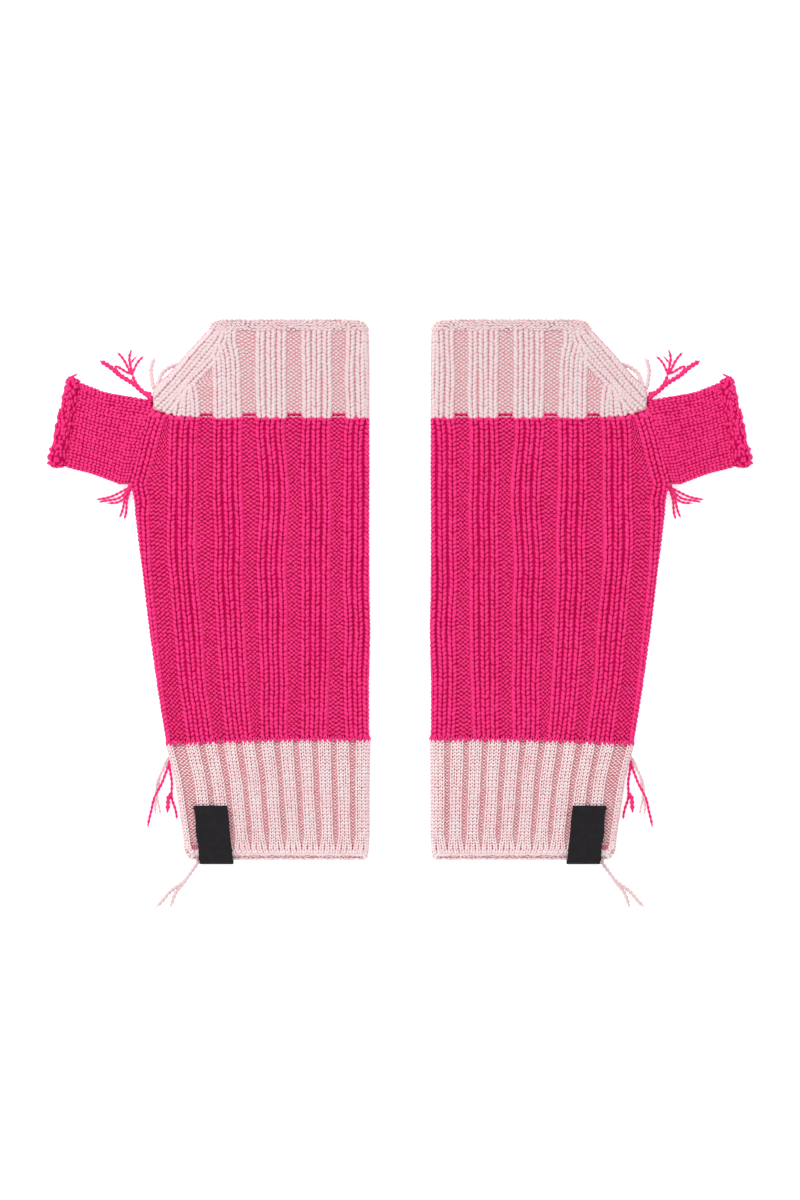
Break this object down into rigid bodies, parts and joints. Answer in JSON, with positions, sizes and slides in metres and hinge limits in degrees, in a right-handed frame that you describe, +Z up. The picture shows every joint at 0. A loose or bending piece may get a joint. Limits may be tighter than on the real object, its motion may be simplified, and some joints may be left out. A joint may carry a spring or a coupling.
{
  "type": "pair of fingerless mittens",
  "caption": "Pair of fingerless rib-knit mittens laid flat, open at the fingers and the thumb, in pale and hot pink, with a bare black label folded over each hem.",
  "frame": {"origin": "middle of the pair's bounding box, on the table the mittens lie on", "axes": "+Z up from the table, +Y from the cuffs to the finger openings, +X to the right mitten's thumb; the mittens mirror each other about X = 0"},
  "size_m": [0.2948, 0.2476, 0.007],
  "materials": {
    "hot_pink_knit": "fine rib and plain knit in hot pink wool, matt with a soft nap",
    "pale_pink_knit": "fine rib knit in pale pink wool, matt with a soft nap",
    "black_label": "woven satin label, black and bare"
  },
  "bodies": {
    "root": {"left_hand_band": "pale_pink_knit", "left_palm": "hot_pink_knit", "left_cuff": "pale_pink_knit", "left_thumb": "hot_pink_knit", "left_label": "black_label", "left_tails_thumb_top": "hot_pink_knit", "left_tails_thumb_top_pale": "pale_pink_knit", "left_tails_thumb_root": "hot_pink_knit", "left_tails_cuff": "hot_pink_knit", "left_tail_hem": "pale_pink_knit", "right_hand_band": "pale_pink_knit", "right_palm": "hot_pink_knit", "right_cuff": "pale_pink_knit", "right_thumb": "hot_pink_knit", "right_label": "black_label", "right_tails_thumb_top": "hot_pink_knit", "right_tails_thumb_top_pale": "pale_pink_knit", "right_tails_thumb_root": "hot_pink_knit", "right_tails_cuff": "hot_pink_knit", "right_tail_hem": "pale_pink_knit"}
  },
  "joints": []
}
